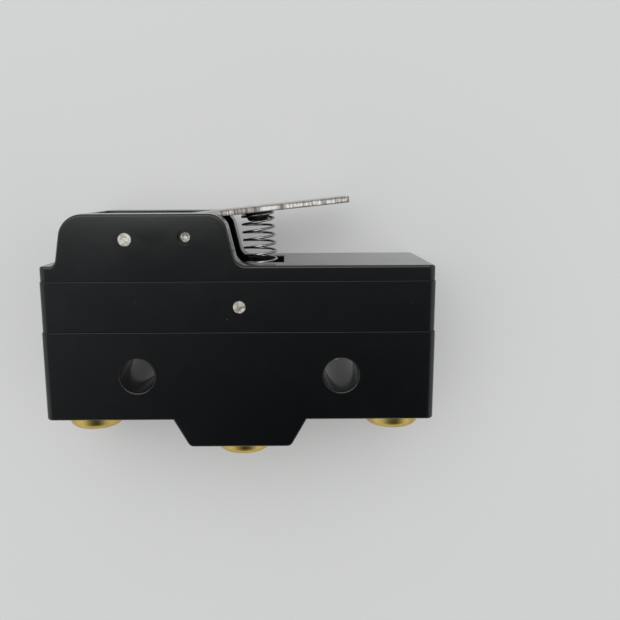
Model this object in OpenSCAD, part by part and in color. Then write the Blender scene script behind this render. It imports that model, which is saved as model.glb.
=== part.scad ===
// Snap-action limit switch with a short hinge lever and three screw terminals.
// Lying on its back: X runs along the case, Y towards the lever, Z out of the front face.
// The origin is midway between the two mounting holes, on the back face.

/* [Case] */
// Length of the base moulding
case_l = 48.7; // [47.5:0.1:50]
// Thickness of the case, from the back face to the front face
case_t = 17.45; // [17.2:0.05:17.8]
// Distance between the two mounting holes
hole_pitch = 25.4; // [25.2:0.1:25.6]
// Diameter of the mounting holes
hole_d = 4.3; // [4:0.05:4.5]
// Bottom of the base, below the hole line
base_bottom = 5.65; // [5.4:0.05:5.8]
// Bottom of the middle terminal's foot, below the hole line
foot_bottom = 9.2; // [9:0.1:9.6]
// Half width of the foot where it leaves the base
foot_top_w = 8.4; // [8:0.1:9]
// Half width of the foot at its bottom
foot_end_w = 6.4; // [6.2:0.1:6.8]
// Joint between the base and the middle frame, above the hole line
frame_y = 5.42; // [5.3:0.02:5.6]
// Joint between the middle frame and the cover, above the hole line
cover_y = 11.7; // [11.6:0.05:11.8]
// Step in from each moulding to the one above it
step_in = 0.1; // [0.05:0.05:0.15]
// Radius of the case's upright edges
edge_r = 0.85; // [0.5:0.05:1.2]

/* [Cover] */
// Height of the cover's deck above the hole line
deck_y = 13.7; // [13.6:0.05:13.9]
// Height of the hump above the hole line
hump_y = 19.85; // [19.5:0.05:20]
// Left foot of the hump, at deck height
hump_left = -21.85; // [-22:0.05:-21.5]
// Right foot of the hump, at deck height
hump_right = -0.1; // [-0.4:0.05:0]
// Lean of the hump's left end from upright
lean_left = 9.6; // [8:0.2:11]
// Lean of the hump's right end from upright
lean_right = 13.6; // [12:0.2:15]
// Radius of the hump's left shoulder
crown_left_r = 2.1; // [1.6:0.1:2.4]
// Radius of the hump's right shoulder
crown_right_r = 2.3; // [1.8:0.1:2.6]
// Width of the slot that the lever works in
slot_w = 9.05; // [8.9:0.05:9.4]
// Floor of the slot under the lever's cheeks
slot_floor = 14.2; // [14:0.05:14.3]
// Floor of the well that the return spring stands in
well_floor = 12.3; // [12.2:0.05:12.4]
// Right end of the slot
slot_end = 5.6; // [5.5:0.05:6]

/* [Lever] */
// Width of the lever strip
lever_w = 8; // [7.6:0.1:8.2]
// Thickness of the lever strip
lever_th = 0.75; // [0.7:0.01:0.8]
// Reach of the lever from its pivot to its tip
lever_reach = 27.7; // [26:0.1:29]
// Slope of the lever at rest
lever_slope = 6; // [5.6:0.1:6.2]
// Travel of the lever from its free position
lever_travel = 8; // [7:0.5:8]
// Pivot to the underside of the lever strip
strip_gap = 1.343; // [1.3:0.001:1.4]
// Diameter of the pivot pin
pivot_d = 1.7; // [1.5:0.05:1.8]
// Diameter of the stop pin
stop_d = 1.5; // [1.3:0.05:1.5]

/* [Return spring] */
// Mean radius of the spring's coils
coil_r = 1.98; // [1.9:0.01:2]
// Diameter of the spring wire
wire_d = 0.28; // [0.24:0.02:0.3]
// Working coils, without the closed end turns
coils = 5.6; // [5:0.1:6]

/* [Snap mechanism] */
// Thickness of the snap blade
blade_th = 0.2; // [0.15:0.01:0.25]
// Width of the snap blade
blade_w = 8; // [7.6:0.1:8.2]
// Height of the snap blade's underside
blade_y = 9.8; // [9.75:0.05:9.85]
// Rise of the bowed tongue
bow_rise = 0.95; // [0.7:0.05:1]
// Gap that the moving contact crosses
contact_gap = 0.5; // [0.4:0.05:0.6]
// Diameter of the contacts
contact_d = 4; // [3.6:0.1:4]
// Diameter of the plunger
plunger_d = 3; // [2.8:0.1:3]

/* [Terminals] */
// Distance from the middle screw to each end screw
terminal_pitch = 20.2; // [20.1:0.05:20.3]
// Diameter of the screw heads
head_d = 6.9; // [6.6:0.1:7]
// Height of the screw heads
head_h = 2.05; // [1.9:0.05:2.1]
// Outside diameter of the screw threads
thread_d = 3.9; // [3.8:0.02:3.92]
// Length of the screws under their heads
screw_l = 7.4; // [6.8:0.1:7.4]
// Outside diameter of the toothed washers
washer_d = 6.7; // [6.4:0.1:7]
// Thickness of the toothed washers
washer_th = 0.7; // [0.6:0.05:0.75]

/* [Hidden] */
$fn = 64;
terminal_names = ["com", "no", "nc"];

terminal_x = [-terminal_pitch, 0, terminal_pitch];
terminal_y = [-base_bottom, -foot_bottom, -base_bottom];

eps = 0.01;
mid_z = case_t / 2;
half_l = case_l / 2;
back_in = 0.05;

// Pivot of the lever, the pin that stops it and the pin through the middle frame
pivot = [-13.5, 16.88];
stop = [-6.23, 17.13];
frame_pin_at = [0.14, 8.6];
frame_pin_d = 1.62;
stop_recess_d = 1.9;
stop_recess = 0.45;

// Chamber inside the mouldings
wall = 1.85;
end_x = 23.3;
floor_y = 4.6;
ceiling_y = 12.4;
riser_out = 23.2;
riser_th = 0.8;

// Mechanism
plunger_x = -9;
clamp_x = -18.1;
contact_x = 15.2;
tongue_x = -2.8;
moving_half = 0.8;
nc_face = blade_y + blade_th + moving_half + 0.02;
no_face = blade_y - moving_half - contact_gap;
arm_y = 7;
nc_arm_y = 11.5;

function lean_shift(lean, rise) = rise * tan(lean);
function bow_radius(chord, rise) = pow(chord, 2) / (8 * rise) + rise / 2;

// ---------- shared shapes ----------

module round_rect(x0, x1, y0, y1, r) {
    translate([x0 + r, y0]) square([x1 - x0 - 2 * r, y1 - y0]);
    translate([x0, y0 + r]) square([x1 - x0, y1 - y0 - 2 * r]);
    for (x = [x0 + r, x1 - r], y = [y0 + r, y1 - r]) translate([x, y]) circle(r);
}

// A storey of the case: upright edges rounded, standing between two heights
module storey(y0, y1, half, inset) {
    translate([0, y1, 0]) rotate([90, 0, 0]) linear_extrude(y1 - y0)
        round_rect(-half, half, inset, case_t - inset, edge_r);
}

module box(x0, x1, y0, y1, z0, z1) {
    translate([x0, y0, z0]) cube([x1 - x0, y1 - y0, z1 - z0]);
}

// A bar along Z between two depths
module rod(at, d, z0, z1) {
    translate([at[0], at[1], z0]) cylinder(d = d, h = z1 - z0);
}

// A round piece along Y between two heights, at mid thickness
module post(x, d, y0, y1) {
    translate([x, y0, mid_z]) rotate([-90, 0, 0]) cylinder(d = d, h = y1 - y0);
}

// ---------- mouldings ----------

module foot_2d() {
    r = 0.8;
    slope = atan((foot_top_w - foot_end_w) / (foot_bottom - base_bottom));
    corner_x = foot_end_w - r * tan(45 - slope / 2);
    side_x = corner_x + r * cos(slope);
    side_y = -foot_bottom + r * (1 - sin(slope));
    polygon([[-foot_top_w, -base_bottom + 0.5], [-foot_top_w, -base_bottom], [-side_x, side_y],
        [-corner_x, -foot_bottom], [corner_x, -foot_bottom], [side_x, side_y],
        [foot_top_w, -base_bottom], [foot_top_w, -base_bottom + 0.5]]);
    for (s = [-1, 1]) translate([s * corner_x, -foot_bottom + r]) circle(r);
}

module end_terminal_cuts(s) {
    z0 = 3.1;
    z1 = case_t - z0;
    a = min(s * 16.4, s * end_x);
    b = max(s * 16.4, s * end_x);
    box(a, b, -base_bottom - eps, -base_bottom + 0.9, z0, z1);
    post(s * terminal_pitch, 4.6, -base_bottom, 2);
    box(min(s * 22.3, s * end_x), max(s * 22.3, s * end_x), -base_bottom, frame_y + eps, 5.1, case_t - 5.1);
    box(min(s * 17.6, s * end_x), max(s * 17.6, s * end_x), 1, frame_y + eps, z0, z1);
}

module base() {
    color("#15181a") difference() {
        union() {
            storey(-base_bottom, frame_y, half_l, 0);
            linear_extrude(case_t) foot_2d();
            // tongues that stand inside the middle frame and take its pin
            for (z = [wall + 0.05, case_t - wall - 1.25]) box(-3, 3, floor_y, 10.1, z, z + 1.2);
            // locating lip
            for (z = [wall + 0.05, case_t - wall - 0.85]) box(-21, 21, floor_y, frame_y + 1.1, z, z + 0.8);
        }
        for (s = [-1, 1]) rod([s * hole_pitch / 2, 0], hole_d, -1, case_t + 1);
        for (s = [-1, 1]) end_terminal_cuts(s);
        box(-end_x, end_x, floor_y, frame_y + 2, 3.1, case_t - 3.1);
        // well between the mounting bosses
        box(-8, 8, -4.6, floor_y + eps, 3.1, case_t - 3.1);
        box(-5.6, 5.6, -7.3, floor_y, 3.1, case_t - 3.1);
        // seat of the middle terminal
        box(-4, 5.6, -foot_bottom - eps, -foot_bottom + 0.9, 3.1, case_t - 3.1);
        box(4.6, 5.6, -foot_bottom, -7, 5.1, case_t - 5.1);
        post(0, 4.6, -foot_bottom, -7);
        rod(frame_pin_at, frame_pin_d, 0, case_t);
    }
}

module middle_frame() {
    color("#181b1d") difference() {
        storey(frame_y, cover_y, half_l - step_in, back_in);
        box(-end_x, end_x, frame_y - eps, cover_y + eps, wall, case_t - wall);
        rod(frame_pin_at, frame_pin_d, 0, case_t);
    }
}

// Outline of the hump with its shoulders and the fillets at its feet
module hump_2d() {
    left_y = hump_y - crown_left_r;
    right_y = hump_y - crown_right_r;
    left_x = hump_left + lean_shift(lean_left, left_y - deck_y) + crown_left_r / cos(lean_left);
    right_x = hump_right - lean_shift(lean_right, right_y - deck_y) - crown_right_r / cos(lean_right);
    polygon([
        [hump_left, cover_y + 0.5],
        [hump_left, deck_y],
        [left_x - crown_left_r * cos(lean_left), left_y + crown_left_r * sin(lean_left)],
        [left_x, hump_y],
        [right_x, hump_y],
        [right_x + crown_right_r * cos(lean_right), right_y + crown_right_r * sin(lean_right)],
        [hump_right, deck_y],
        [hump_right, cover_y + 0.5]]);
    translate([left_x, left_y]) circle(crown_left_r);
    translate([right_x, right_y]) circle(crown_right_r);
    foot_fillet(hump_left, -1, lean_left, 0.9);
    foot_fillet(hump_right, 1, lean_right, 1.5);
}

module foot_fillet(foot_x, side, lean, r) {
    run = r / cos(lean) - lean_shift(lean, r);
    translate([foot_x, deck_y]) scale([side, 1]) difference() {
        polygon([[-0.5, -0.3], [run, -0.3], [run, 0], [run - r * cos(lean), r - r * sin(lean)], [-1, 1]]);
        translate([run, r]) circle(r);
    }
}

module deck_block() {
    half = half_l - 2 * step_in;
    intersection() {
        storey(cover_y, deck_y, half, back_in);
        translate([0, 0, -1]) linear_extrude(case_t + 2) round_rect(-half, half, cover_y - 2, deck_y, 0.5);
        translate([-half - 1, 0, case_t]) rotate([0, 90, 0]) linear_extrude(2 * half + 2)
            round_rect(back_in, case_t - back_in, cover_y - 2, deck_y, 0.3);
    }
}

module hump() {
    intersection() {
        translate([0, 0, back_in]) linear_extrude(case_t - 2 * back_in) hump_2d();
        translate([-half_l, 0, case_t]) rotate([0, 90, 0]) linear_extrude(case_l)
            round_rect(back_in, case_t - back_in, cover_y - 2, hump_y, 0.3);
    }
}

module cover() {
    z0 = mid_z - slot_w / 2;
    z1 = mid_z + slot_w / 2;
    color("#15181a") difference() {
        union() {
            deck_block();
            hump();
            for (z = [wall + 0.05, case_t - wall - 0.85]) box(-21, 21, cover_y - 0.9, cover_y + 1, z, z + 0.8);
            // floor of the spring well, hanging into the chamber
            box(-2.8, slot_end + 1.2, 11.3, cover_y + 1, wall + 0.9, case_t - wall - 0.9);
        }
        // chamber on both sides of the well
        box(-end_x, -2.8, cover_y - 1, ceiling_y, 2.75, case_t - 2.75);
        box(slot_end + 1.2, end_x, cover_y - 1, ceiling_y, 2.75, case_t - 2.75);
        // slot for the lever's cheeks and well for the return spring
        box(-18.6, -1.6, slot_floor, hump_y + 1, z0, z1);
        box(-1.6 - eps, slot_end, well_floor, hump_y + 1, z0, z1);
        rod(pivot, pivot_d, 0, case_t);
        rod(stop, stop_d, 0, case_t);
        rod(stop, stop_recess_d, case_t - back_in - stop_recess, case_t + 1);
        post(plunger_x, plunger_d + 0.1, cover_y, slot_floor + eps);
    }
}

// ---------- lever, pins, spring and plunger ----------

// Cheek of the lever beside its pivot, seen from the front, with the strip along +X
module cheek_2d() {
    stop_at = [for (p = [stop - pivot]) [
        p[0] * cos(lever_slope) + p[1] * sin(lever_slope), p[1] * cos(lever_slope) - p[0] * sin(lever_slope)]][0];
    hook_r = 1.6;
    pivot_r = 1.75;
    top = strip_gap + lever_th / 2;
    difference() {
        union() {
            circle(pivot_r);
            translate(stop_at) circle(hook_r);
            polygon([
                [-pivot_r, 0], [-pivot_r, top], [11.4, top], [10.4, strip_gap - 0.35],
                [stop_at[0] + hook_r * cos(20), stop_at[1] + hook_r * sin(20)],
                [stop_at[0], stop_at[1] - hook_r], [0, -pivot_r]]);
        }
        circle(d = pivot_d + 0.1);
        // window that the stop pin travels in
        for (a = [0 : lever_travel / 8 : lever_travel]) rotate(a) translate(stop_at) circle(d = stop_d + 0.1);
    }
}

module lever() {
    z0 = mid_z - lever_w / 2;
    z1 = mid_z + lever_w / 2;
    boss_x = 15.9;
    color("#b9b7b2") translate([pivot[0], pivot[1], 0]) rotate([0, 0, lever_slope]) difference() {
        union() {
            intersection() {
                union() {
                    box(-1.75, lever_reach, strip_gap, strip_gap + lever_th, z0, z1);
                    translate([0, 0, z0]) linear_extrude(lever_th) cheek_2d();
                    translate([0, 0, z1 - lever_th]) linear_extrude(lever_th) cheek_2d();
                }
                // folded edges over the cheeks
                union() {
                    translate([-3, 0, case_t]) rotate([0, 90, 0]) linear_extrude(14.4)
                        difference() {
                            translate([z0, -5]) square([lever_w, 5 + strip_gap + lever_th]);
                            for (s = [-1, 1]) translate([mid_z + s * (lever_w / 2 - 1), strip_gap + lever_th - 1])
                                difference() {
                                    translate([s > 0 ? 0 : -1, 0]) square([1, 1 + eps]);
                                    circle(1);
                                }
                        }
                    box(11.4 - eps, lever_reach, 0, 5, z0, z1);
                }
                // rounded corners at the tip
                translate([0, 5, 0]) rotate([90, 0, 0]) linear_extrude(12)
                    round_rect(-8, lever_reach, z0, z1, 0.5);
            }
            // raised seat that the return spring's last turn fits round
            translate([boss_x, strip_gap + eps, mid_z]) rotate([90, 0, 0]) cylinder(r1 = 1.72, r2 = 1.3, h = 0.85);
        }
        translate([boss_x, strip_gap + lever_th + eps, mid_z]) rotate([90, 0, 0])
            cylinder(r1 = 1.2, r2 = 0.9, h = lever_th + 0.2);
    }
}

module pivot_pin() {
    color("#a9abac") rod(pivot, pivot_d, back_in, case_t - back_in);
}

module stop_pin() {
    color("#c9c6c0") rod(stop, stop_d, back_in, case_t - back_in - stop_recess + 0.1);
}

module frame_pin() {
    color("#b7aaa6") rod(frame_pin_at, frame_pin_d, back_in, case_t - back_in);
}

// Height of the wire's centre after so many turns, the closed end turns packed together
function coil_height(t, turns, free_h) =
    let (packed = wire_d * 1.05, closed = 1, rise = (free_h - 2 * closed * packed) / (turns - 2 * closed))
    t < closed ? t * packed
    : t > turns - closed ? free_h - (turns - t) * packed
    : closed * packed + (t - closed) * rise;

module return_spring() {
    top = [2.19, 19.72];
    bottom = [2.68, well_floor + wire_d / 2 + 0.01];
    free_h = top[1] - bottom[1];
    turns = coils + 2;
    steps = 20;
    sides = 6;
    rings = floor(turns * steps);
    // the turns lie flat on the well's floor and tilt, up the spring, to the slope of the lever
    points = [for (i = [0 : rings], k = [0 : sides - 1])
        let (t = i / steps, a = 360 * t, b = 360 * k / sides, r = coil_r + wire_d / 2 * cos(b))
        let (h = coil_height(t, turns, free_h), share = h / free_h, tilt = lever_slope * share)
        let (x = -r * cos(a), y = wire_d / 2 * sin(b))
        [bottom[0] + (top[0] - bottom[0]) * share + x * cos(tilt) - y * sin(tilt),
            bottom[1] + h + x * sin(tilt) + y * cos(tilt), mid_z + r * sin(a)]];
    skin = [for (i = [0 : rings - 1], k = [0 : sides - 1])
        let (n = (k + 1) % sides)
        [i * sides + k, i * sides + n, (i + 1) * sides + n, (i + 1) * sides + k]];
    first = [for (k = [sides - 1 : -1 : 0]) k];
    last = [for (k = [0 : sides - 1]) rings * sides + k];
    color("#8d8f90") polyhedron(points, concat([first], skin, [last]));
}

module plunger() {
    top = 18.66;
    r = plunger_d / 2;
    tip_r = 0.9;
    color("#23262a") translate([plunger_x, 0, mid_z]) rotate([-90, 0, 0]) union() {
        translate([0, 0, 12]) cylinder(r = r, h = top - r - 12);
        intersection() {
            translate([0, 0, top - r]) sphere(r);
            translate([0, 0, top - r]) cylinder(r = r, h = r);
        }
        translate([0, 0, 11.1]) cylinder(r = 2.3, h = 1.05);
        translate([0, 0, blade_y + blade_th + 0.03 + tip_r]) sphere(tip_r);
        translate([0, 0, blade_y + blade_th + 0.03 + tip_r]) cylinder(r = tip_r, h = 0.6);
    }
}

// ---------- snap mechanism ----------

module blade_plan() {
    rail = 1.6;
    half = blade_w / 2;
    difference() {
        union() {
            translate([-20.6, mid_z - half]) square([34.4, blade_w]);
            translate([13.8, mid_z]) circle(half);
        }
        // openings between the rails: behind the pressed bridge and around the tongue
        translate([-15.4, mid_z - half + rail]) square([4.6, blade_w - 2 * rail]);
        translate([-7.2, mid_z - half + rail]) square([16.6, blade_w - 2 * rail]);
        translate([clamp_x, mid_z]) circle(d = 2.1);
        translate([contact_x, mid_z]) circle(d = 1.8);
    }
}

module snap_blade() {
    chord = 9.5 - tongue_x;
    r_bow = bow_radius(chord, bow_rise);
    centre = [tongue_x + chord / 2, blade_y + bow_rise - r_bow];
    color("#c28a55") union() {
        translate([0, blade_y + blade_th, 0]) rotate([90, 0, 0]) linear_extrude(blade_th) blade_plan();
        translate([0, 0, mid_z - 1.6]) linear_extrude(3.2) intersection() {
            translate(centre) difference() {
                circle(r_bow + blade_th, $fn = 180);
                circle(r_bow, $fn = 180);
            }
            translate([tongue_x, blade_y - 0.1]) square([chord + 0.1, bow_rise + 0.5]);
        }
    }
}

module contact_button(face, back, shank_end) {
    d = contact_d;
    s = (back > face) ? 1 : -1;
    translate([contact_x, face, mid_z]) rotate([-90 * s, 0, 0]) union() {
        translate([0, 0, 0]) cylinder(d1 = d - 0.5, d2 = d, h = 0.2);
        translate([0, 0, 0.2 - eps]) cylinder(d = d, h = abs(back - face) - 0.2 + eps);
        cylinder(d = 1.8, h = abs(shank_end - face));
    }
}

module moving_contact() {
    color("#d8d8d4") union() {
        contact_button(blade_y + blade_th + moving_half, blade_y + blade_th, blade_y);
        contact_button(blade_y - moving_half, blade_y, blade_y + blade_th);
    }
}

module no_contact() {
    color("#d8d8d4") contact_button(no_face, arm_y + riser_th, arm_y);
}

module nc_contact() {
    color("#d8d8d4") contact_button(nc_face, nc_arm_y, nc_arm_y + riser_th);
}

module anchor_bracket() {
    th = 0.8;
    pad = blade_y - th;
    bar = pad - 1;
    color("#b98d4c") difference() {
        union() {
            box(-20.6, -15.2, pad, blade_y, mid_z - blade_w / 2 + 0.2, mid_z + blade_w / 2 - 0.2);
            translate([0, 0, mid_z - 1.5]) linear_extrude(3) difference() {
                union() {
                    translate([-15.2 - eps, bar]) square([th, th + 1]);
                    translate([-15.2, bar]) square([tongue_x - 0.1 + 15.2, th]);
                    translate([tongue_x - 0.1 - th, bar]) square([th, blade_y + 0.3 - bar]);
                }
                // notch that the tongue's end rocks in
                translate([tongue_x - 0.1, blade_y + 0.05]) rotate(45) square(0.5, center = true);
            }
        }
        post(clamp_x, 2, pad - 1, blade_y + 1);
    }
}

module anchor_rivet() {
    plate = blade_y - 0.8 - riser_th;
    color("#b3b0a8") union() {
        post(clamp_x, 2, plate - 0.5, blade_y + blade_th + 0.5);
        post(clamp_x, 3.6, blade_y + blade_th, blade_y + blade_th + 0.6);
        post(clamp_x, 3.4, plate - 0.6, plate);
    }
}

// ---------- terminals ----------

module terminal_plate(x0, x1, y) {
    box(x0, x1, y, y + riser_th, 3.2, case_t - 3.2);
}

module arm(x0, x1, y0, y1) {
    box(x0, x1, y0, y1, 5.2, case_t - 5.2);
}

module tapped(i) {
    post(terminal_x[i], thread_d + 0.1, terminal_y[i] - 1, terminal_y[i] + 2);
}

module com_terminal() {
    plate = blade_y - 0.8 - riser_th;
    color("#c9a24a") difference() {
        union() {
            terminal_plate(-riser_out, -16.5, -base_bottom + 0.05);
            arm(-riser_out, -riser_out + riser_th, -base_bottom + 0.05, plate + riser_th);
            arm(-riser_out, -15.9, plate, plate + riser_th);
        }
        tapped(0);
        post(clamp_x, 2, plate - 1, plate + 2);
    }
}

module no_terminal() {
    color("#c9a24a") difference() {
        union() {
            terminal_plate(-3.9, 5.5, -foot_bottom + 0.05);
            arm(4.7, 5.5, -foot_bottom + 0.05, arm_y + riser_th);
            arm(4.7, 17.6, arm_y, arm_y + riser_th);
        }
        tapped(1);
        post(contact_x, 1.8, arm_y - 1, arm_y + 2);
    }
}

module nc_terminal() {
    color("#c9a24a") difference() {
        union() {
            terminal_plate(16.5, riser_out, -base_bottom + 0.05);
            arm(riser_out - riser_th, riser_out, -base_bottom + 0.05, nc_arm_y + riser_th);
            arm(12.9, riser_out, nc_arm_y, nc_arm_y + riser_th);
        }
        tapped(2);
        post(contact_x, 1.8, nc_arm_y - 1, nc_arm_y + 2);
    }
}

module terminal_screw(i) {
    under = washer_th + 0.02;
    pitch = 0.7;
    root_r = thread_d / 2 - 0.3;
    color("#d8b24e") translate([terminal_x[i], terminal_y[i], mid_z]) rotate([90, 0, 0]) difference() {
        union() {
            translate([0, 0, under]) rotate_extrude() difference() {
                union() {
                    square([head_d / 2, head_h - 1.1]);
                    translate([0, 0]) square([head_d / 2 - 1.1, head_h]);
                    translate([head_d / 2 - 1.1, head_h - 1.1]) intersection() {
                        circle(1.1);
                        square(2);
                    }
                }
            }
            translate([0, 0, under - screw_l]) cylinder(r = root_r, h = screw_l);
            for (z = [under - screw_l + 0.5 : pitch : under - 1.2]) translate([0, 0, z]) rotate_extrude()
                polygon([[0, -0.3], [root_r, -0.3], [thread_d / 2, -0.05], [thread_d / 2, 0.05], [root_r, 0.3], [0, 0.3]]);
        }
        // cross recess with a longer slot
        for (w = [[5.2, 0.95], [0.95, 3.6]]) translate([-w[0] / 2, -w[1] / 2, under + head_h - 1.1]) cube([w[0], w[1], 2]);
    }
}

module toothed_washer(i) {
    teeth = 14;
    bore = thread_d / 2 + 0.12;
    color("#cfa94c") translate([terminal_x[i], terminal_y[i] - 0.01, mid_z]) rotate([90, 0, 0])
        linear_extrude(washer_th) difference() {
            union() {
                circle(d = washer_d - 1.2);
                for (k = [0 : teeth - 1]) rotate(360 * k / teeth)
                    translate([washer_d / 2 - 0.9, -0.38]) square([0.9, 0.76]);
            }
            circle(bore);
        }
}

base();
middle_frame();
cover();
lever();
pivot_pin();
stop_pin();
frame_pin();
return_spring();
plunger();
snap_blade();
moving_contact();
anchor_bracket();
anchor_rivet();
com_terminal();
no_terminal();
nc_terminal();
no_contact();
nc_contact();
for (i = [0 : 2]) {
    terminal_screw(i);
    toothed_washer(i);
}
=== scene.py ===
import math

import bmesh
import bpy
from mathutils import Matrix, Vector


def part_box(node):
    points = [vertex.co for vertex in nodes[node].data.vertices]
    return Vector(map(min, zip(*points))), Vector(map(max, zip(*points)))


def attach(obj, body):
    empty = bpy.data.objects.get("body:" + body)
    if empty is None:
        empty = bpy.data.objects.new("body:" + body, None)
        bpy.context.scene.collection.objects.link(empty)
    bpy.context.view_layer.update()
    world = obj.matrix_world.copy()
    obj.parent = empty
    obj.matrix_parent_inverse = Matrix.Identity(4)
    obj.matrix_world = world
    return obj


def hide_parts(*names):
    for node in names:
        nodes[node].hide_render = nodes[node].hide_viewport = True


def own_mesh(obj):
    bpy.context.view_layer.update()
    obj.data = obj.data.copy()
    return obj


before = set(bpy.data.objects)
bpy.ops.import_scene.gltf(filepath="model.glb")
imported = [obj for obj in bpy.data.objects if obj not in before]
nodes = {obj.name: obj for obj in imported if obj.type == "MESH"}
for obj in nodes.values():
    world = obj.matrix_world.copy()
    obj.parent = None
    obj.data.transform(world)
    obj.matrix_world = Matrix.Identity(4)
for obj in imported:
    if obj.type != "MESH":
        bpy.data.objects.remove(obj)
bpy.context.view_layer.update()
mm = 0.001

print("stage: frame loaded,", len(nodes), "nodes")


# camera

cameraLook = {
    "place": (0.006036, 0.023078, 0.104987),
    "turn": (-0.1886, -0.0053, -0.0047),  # rotation vector away from looking straight down
    "lens": 42.19,
    "shiftX": 0.0306,
    "shiftY": 0.0245,
    "sensor": 36,
    "near": 0.005,
}


def placeCamera(look):
    data = bpy.data.cameras.new("mainCamera")
    data.lens = look["lens"]
    data.sensor_width = look["sensor"]
    data.shift_x = look["shiftX"]
    data.shift_y = look["shiftY"]
    data.clip_start = look["near"]
    camera = bpy.data.objects.new("mainCamera", data)
    bpy.context.scene.collection.objects.link(camera)
    turn = Vector(look["turn"])
    spin = Matrix.Rotation(turn.length, 4, turn.normalized())
    camera.matrix_world = Matrix.Translation(look["place"]) @ spin
    bpy.context.scene.camera = camera


placeCamera(cameraLook)


# node helpers

def newMaterial(name, colour, metallic=0.0, roughness=0.4):
    material = bpy.data.materials.new(name)
    material.use_nodes = True
    tree = material.node_tree
    shader = tree.nodes["Principled BSDF"]
    shader.inputs["Base Color"].default_value = (*colour, 1)
    shader.inputs["Metallic"].default_value = metallic
    shader.inputs["Roughness"].default_value = roughness
    return material, tree, shader


def addNode(tree, kind, **settings):
    node = tree.nodes.new(kind)
    for key, value in settings.items():
        setattr(node, key, value)
    return node


def mapped(tree, point, turn=(0, 0, 0), stretch=(1, 1, 1), move=(0, 0, 0)):
    node = addNode(tree, "ShaderNodeMapping")
    node.inputs["Location"].default_value = move
    node.inputs["Rotation"].default_value = turn
    node.inputs["Scale"].default_value = stretch
    tree.links.new(point, node.inputs["Vector"])
    return node.outputs["Vector"]


def objectPoint(tree, stretch=(1, 1, 1), centre=(0, 0, 0)):
    # object coordinates in metres, stretched about the centre
    coords = addNode(tree, "ShaderNodeTexCoord")
    move = [-c * s for c, s in zip(centre, stretch)]
    return mapped(tree, coords.outputs["Object"], stretch=stretch, move=move)


def partOf(tree, point, axis):
    split = addNode(tree, "ShaderNodeSeparateXYZ")
    tree.links.new(point, split.inputs["Vector"])
    return split.outputs[axis]


def noiseField(tree, point, scale, detail=3.0, rough=0.5, twist=0.0):
    noise = addNode(tree, "ShaderNodeTexNoise")
    noise.inputs["Scale"].default_value = scale
    noise.inputs["Detail"].default_value = detail
    noise.inputs["Roughness"].default_value = rough
    noise.inputs["Distortion"].default_value = twist
    tree.links.new(point, noise.inputs["Vector"])
    return noise.outputs["Fac"]


def remap(tree, value, fromLow, fromHigh, toLow, toHigh):
    node = addNode(tree, "ShaderNodeMapRange")
    node.inputs["From Min"].default_value = fromLow
    node.inputs["From Max"].default_value = fromHigh
    node.inputs["To Min"].default_value = toLow
    node.inputs["To Max"].default_value = toHigh
    tree.links.new(value, node.inputs["Value"])
    return node.outputs["Result"]


def mathOf(tree, operation, a, b=None):
    node = addNode(tree, "ShaderNodeMath", operation=operation)
    for slot, value in ((0, a), (1, b)):
        if value is None:
            continue
        if isinstance(value, (int, float)):
            node.inputs[slot].default_value = value
        else:
            tree.links.new(value, node.inputs[slot])
    return node.outputs["Value"]


def product(tree, a, b):
    return mathOf(tree, "MULTIPLY", a, b)


def total(tree, a, b):
    return mathOf(tree, "ADD", a, b)


def gapFrom(tree, value, middle):
    return mathOf(tree, "ABSOLUTE", mathOf(tree, "SUBTRACT", value, middle))


# sockets of a mix node that blends colours
mixSockets = {"amount": 0, "first": 6, "second": 7, "result": 2}


def blendColour(tree, amount, first, second):
    node = addNode(tree, "ShaderNodeMix", data_type="RGBA")
    for key, value in (("first", first), ("second", second)):
        socket = node.inputs[mixSockets[key]]
        if isinstance(value, tuple):
            socket.default_value = (*value, 1)
        else:
            tree.links.new(value, socket)
    tree.links.new(amount, node.inputs[mixSockets["amount"]])
    return node.outputs[mixSockets["result"]]


def addBump(tree, shader, height, strength, distance):
    # distance in metres
    bump = addNode(tree, "ShaderNodeBump")
    bump.inputs["Strength"].default_value = strength
    bump.inputs["Distance"].default_value = distance
    tree.links.new(height, bump.inputs["Height"])
    tree.links.new(bump.outputs["Normal"], shader.inputs["Normal"])


# finishes

mouldedLook = {
    "colour": (0.0028, 0.0033, 0.0036),
    "dusty": (0.0065, 0.0072, 0.0076),
    "speck": (0.16, 0.16, 0.155),
    "roughness": (0.09, 0.17),
    "flow": 55,            # noise scales, in cells a metre
    "film": 210,
    "grain": 2600,
    "dust": 420,
    "filmShare": 0.4,      # of the gloss marks; flow marks are the rest
    "tintEdges": (0.3, 0.75),
    "tintShare": 0.5,
    "glossEdges": (0.35, 0.65),
    "dustEdges": (0.69, 0.72),
    "dustTint": 0.35,
    "dustRough": 0.3,
    "grainHeight": 0.05,
    "bump": (0.35, 0.00004),
}


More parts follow.
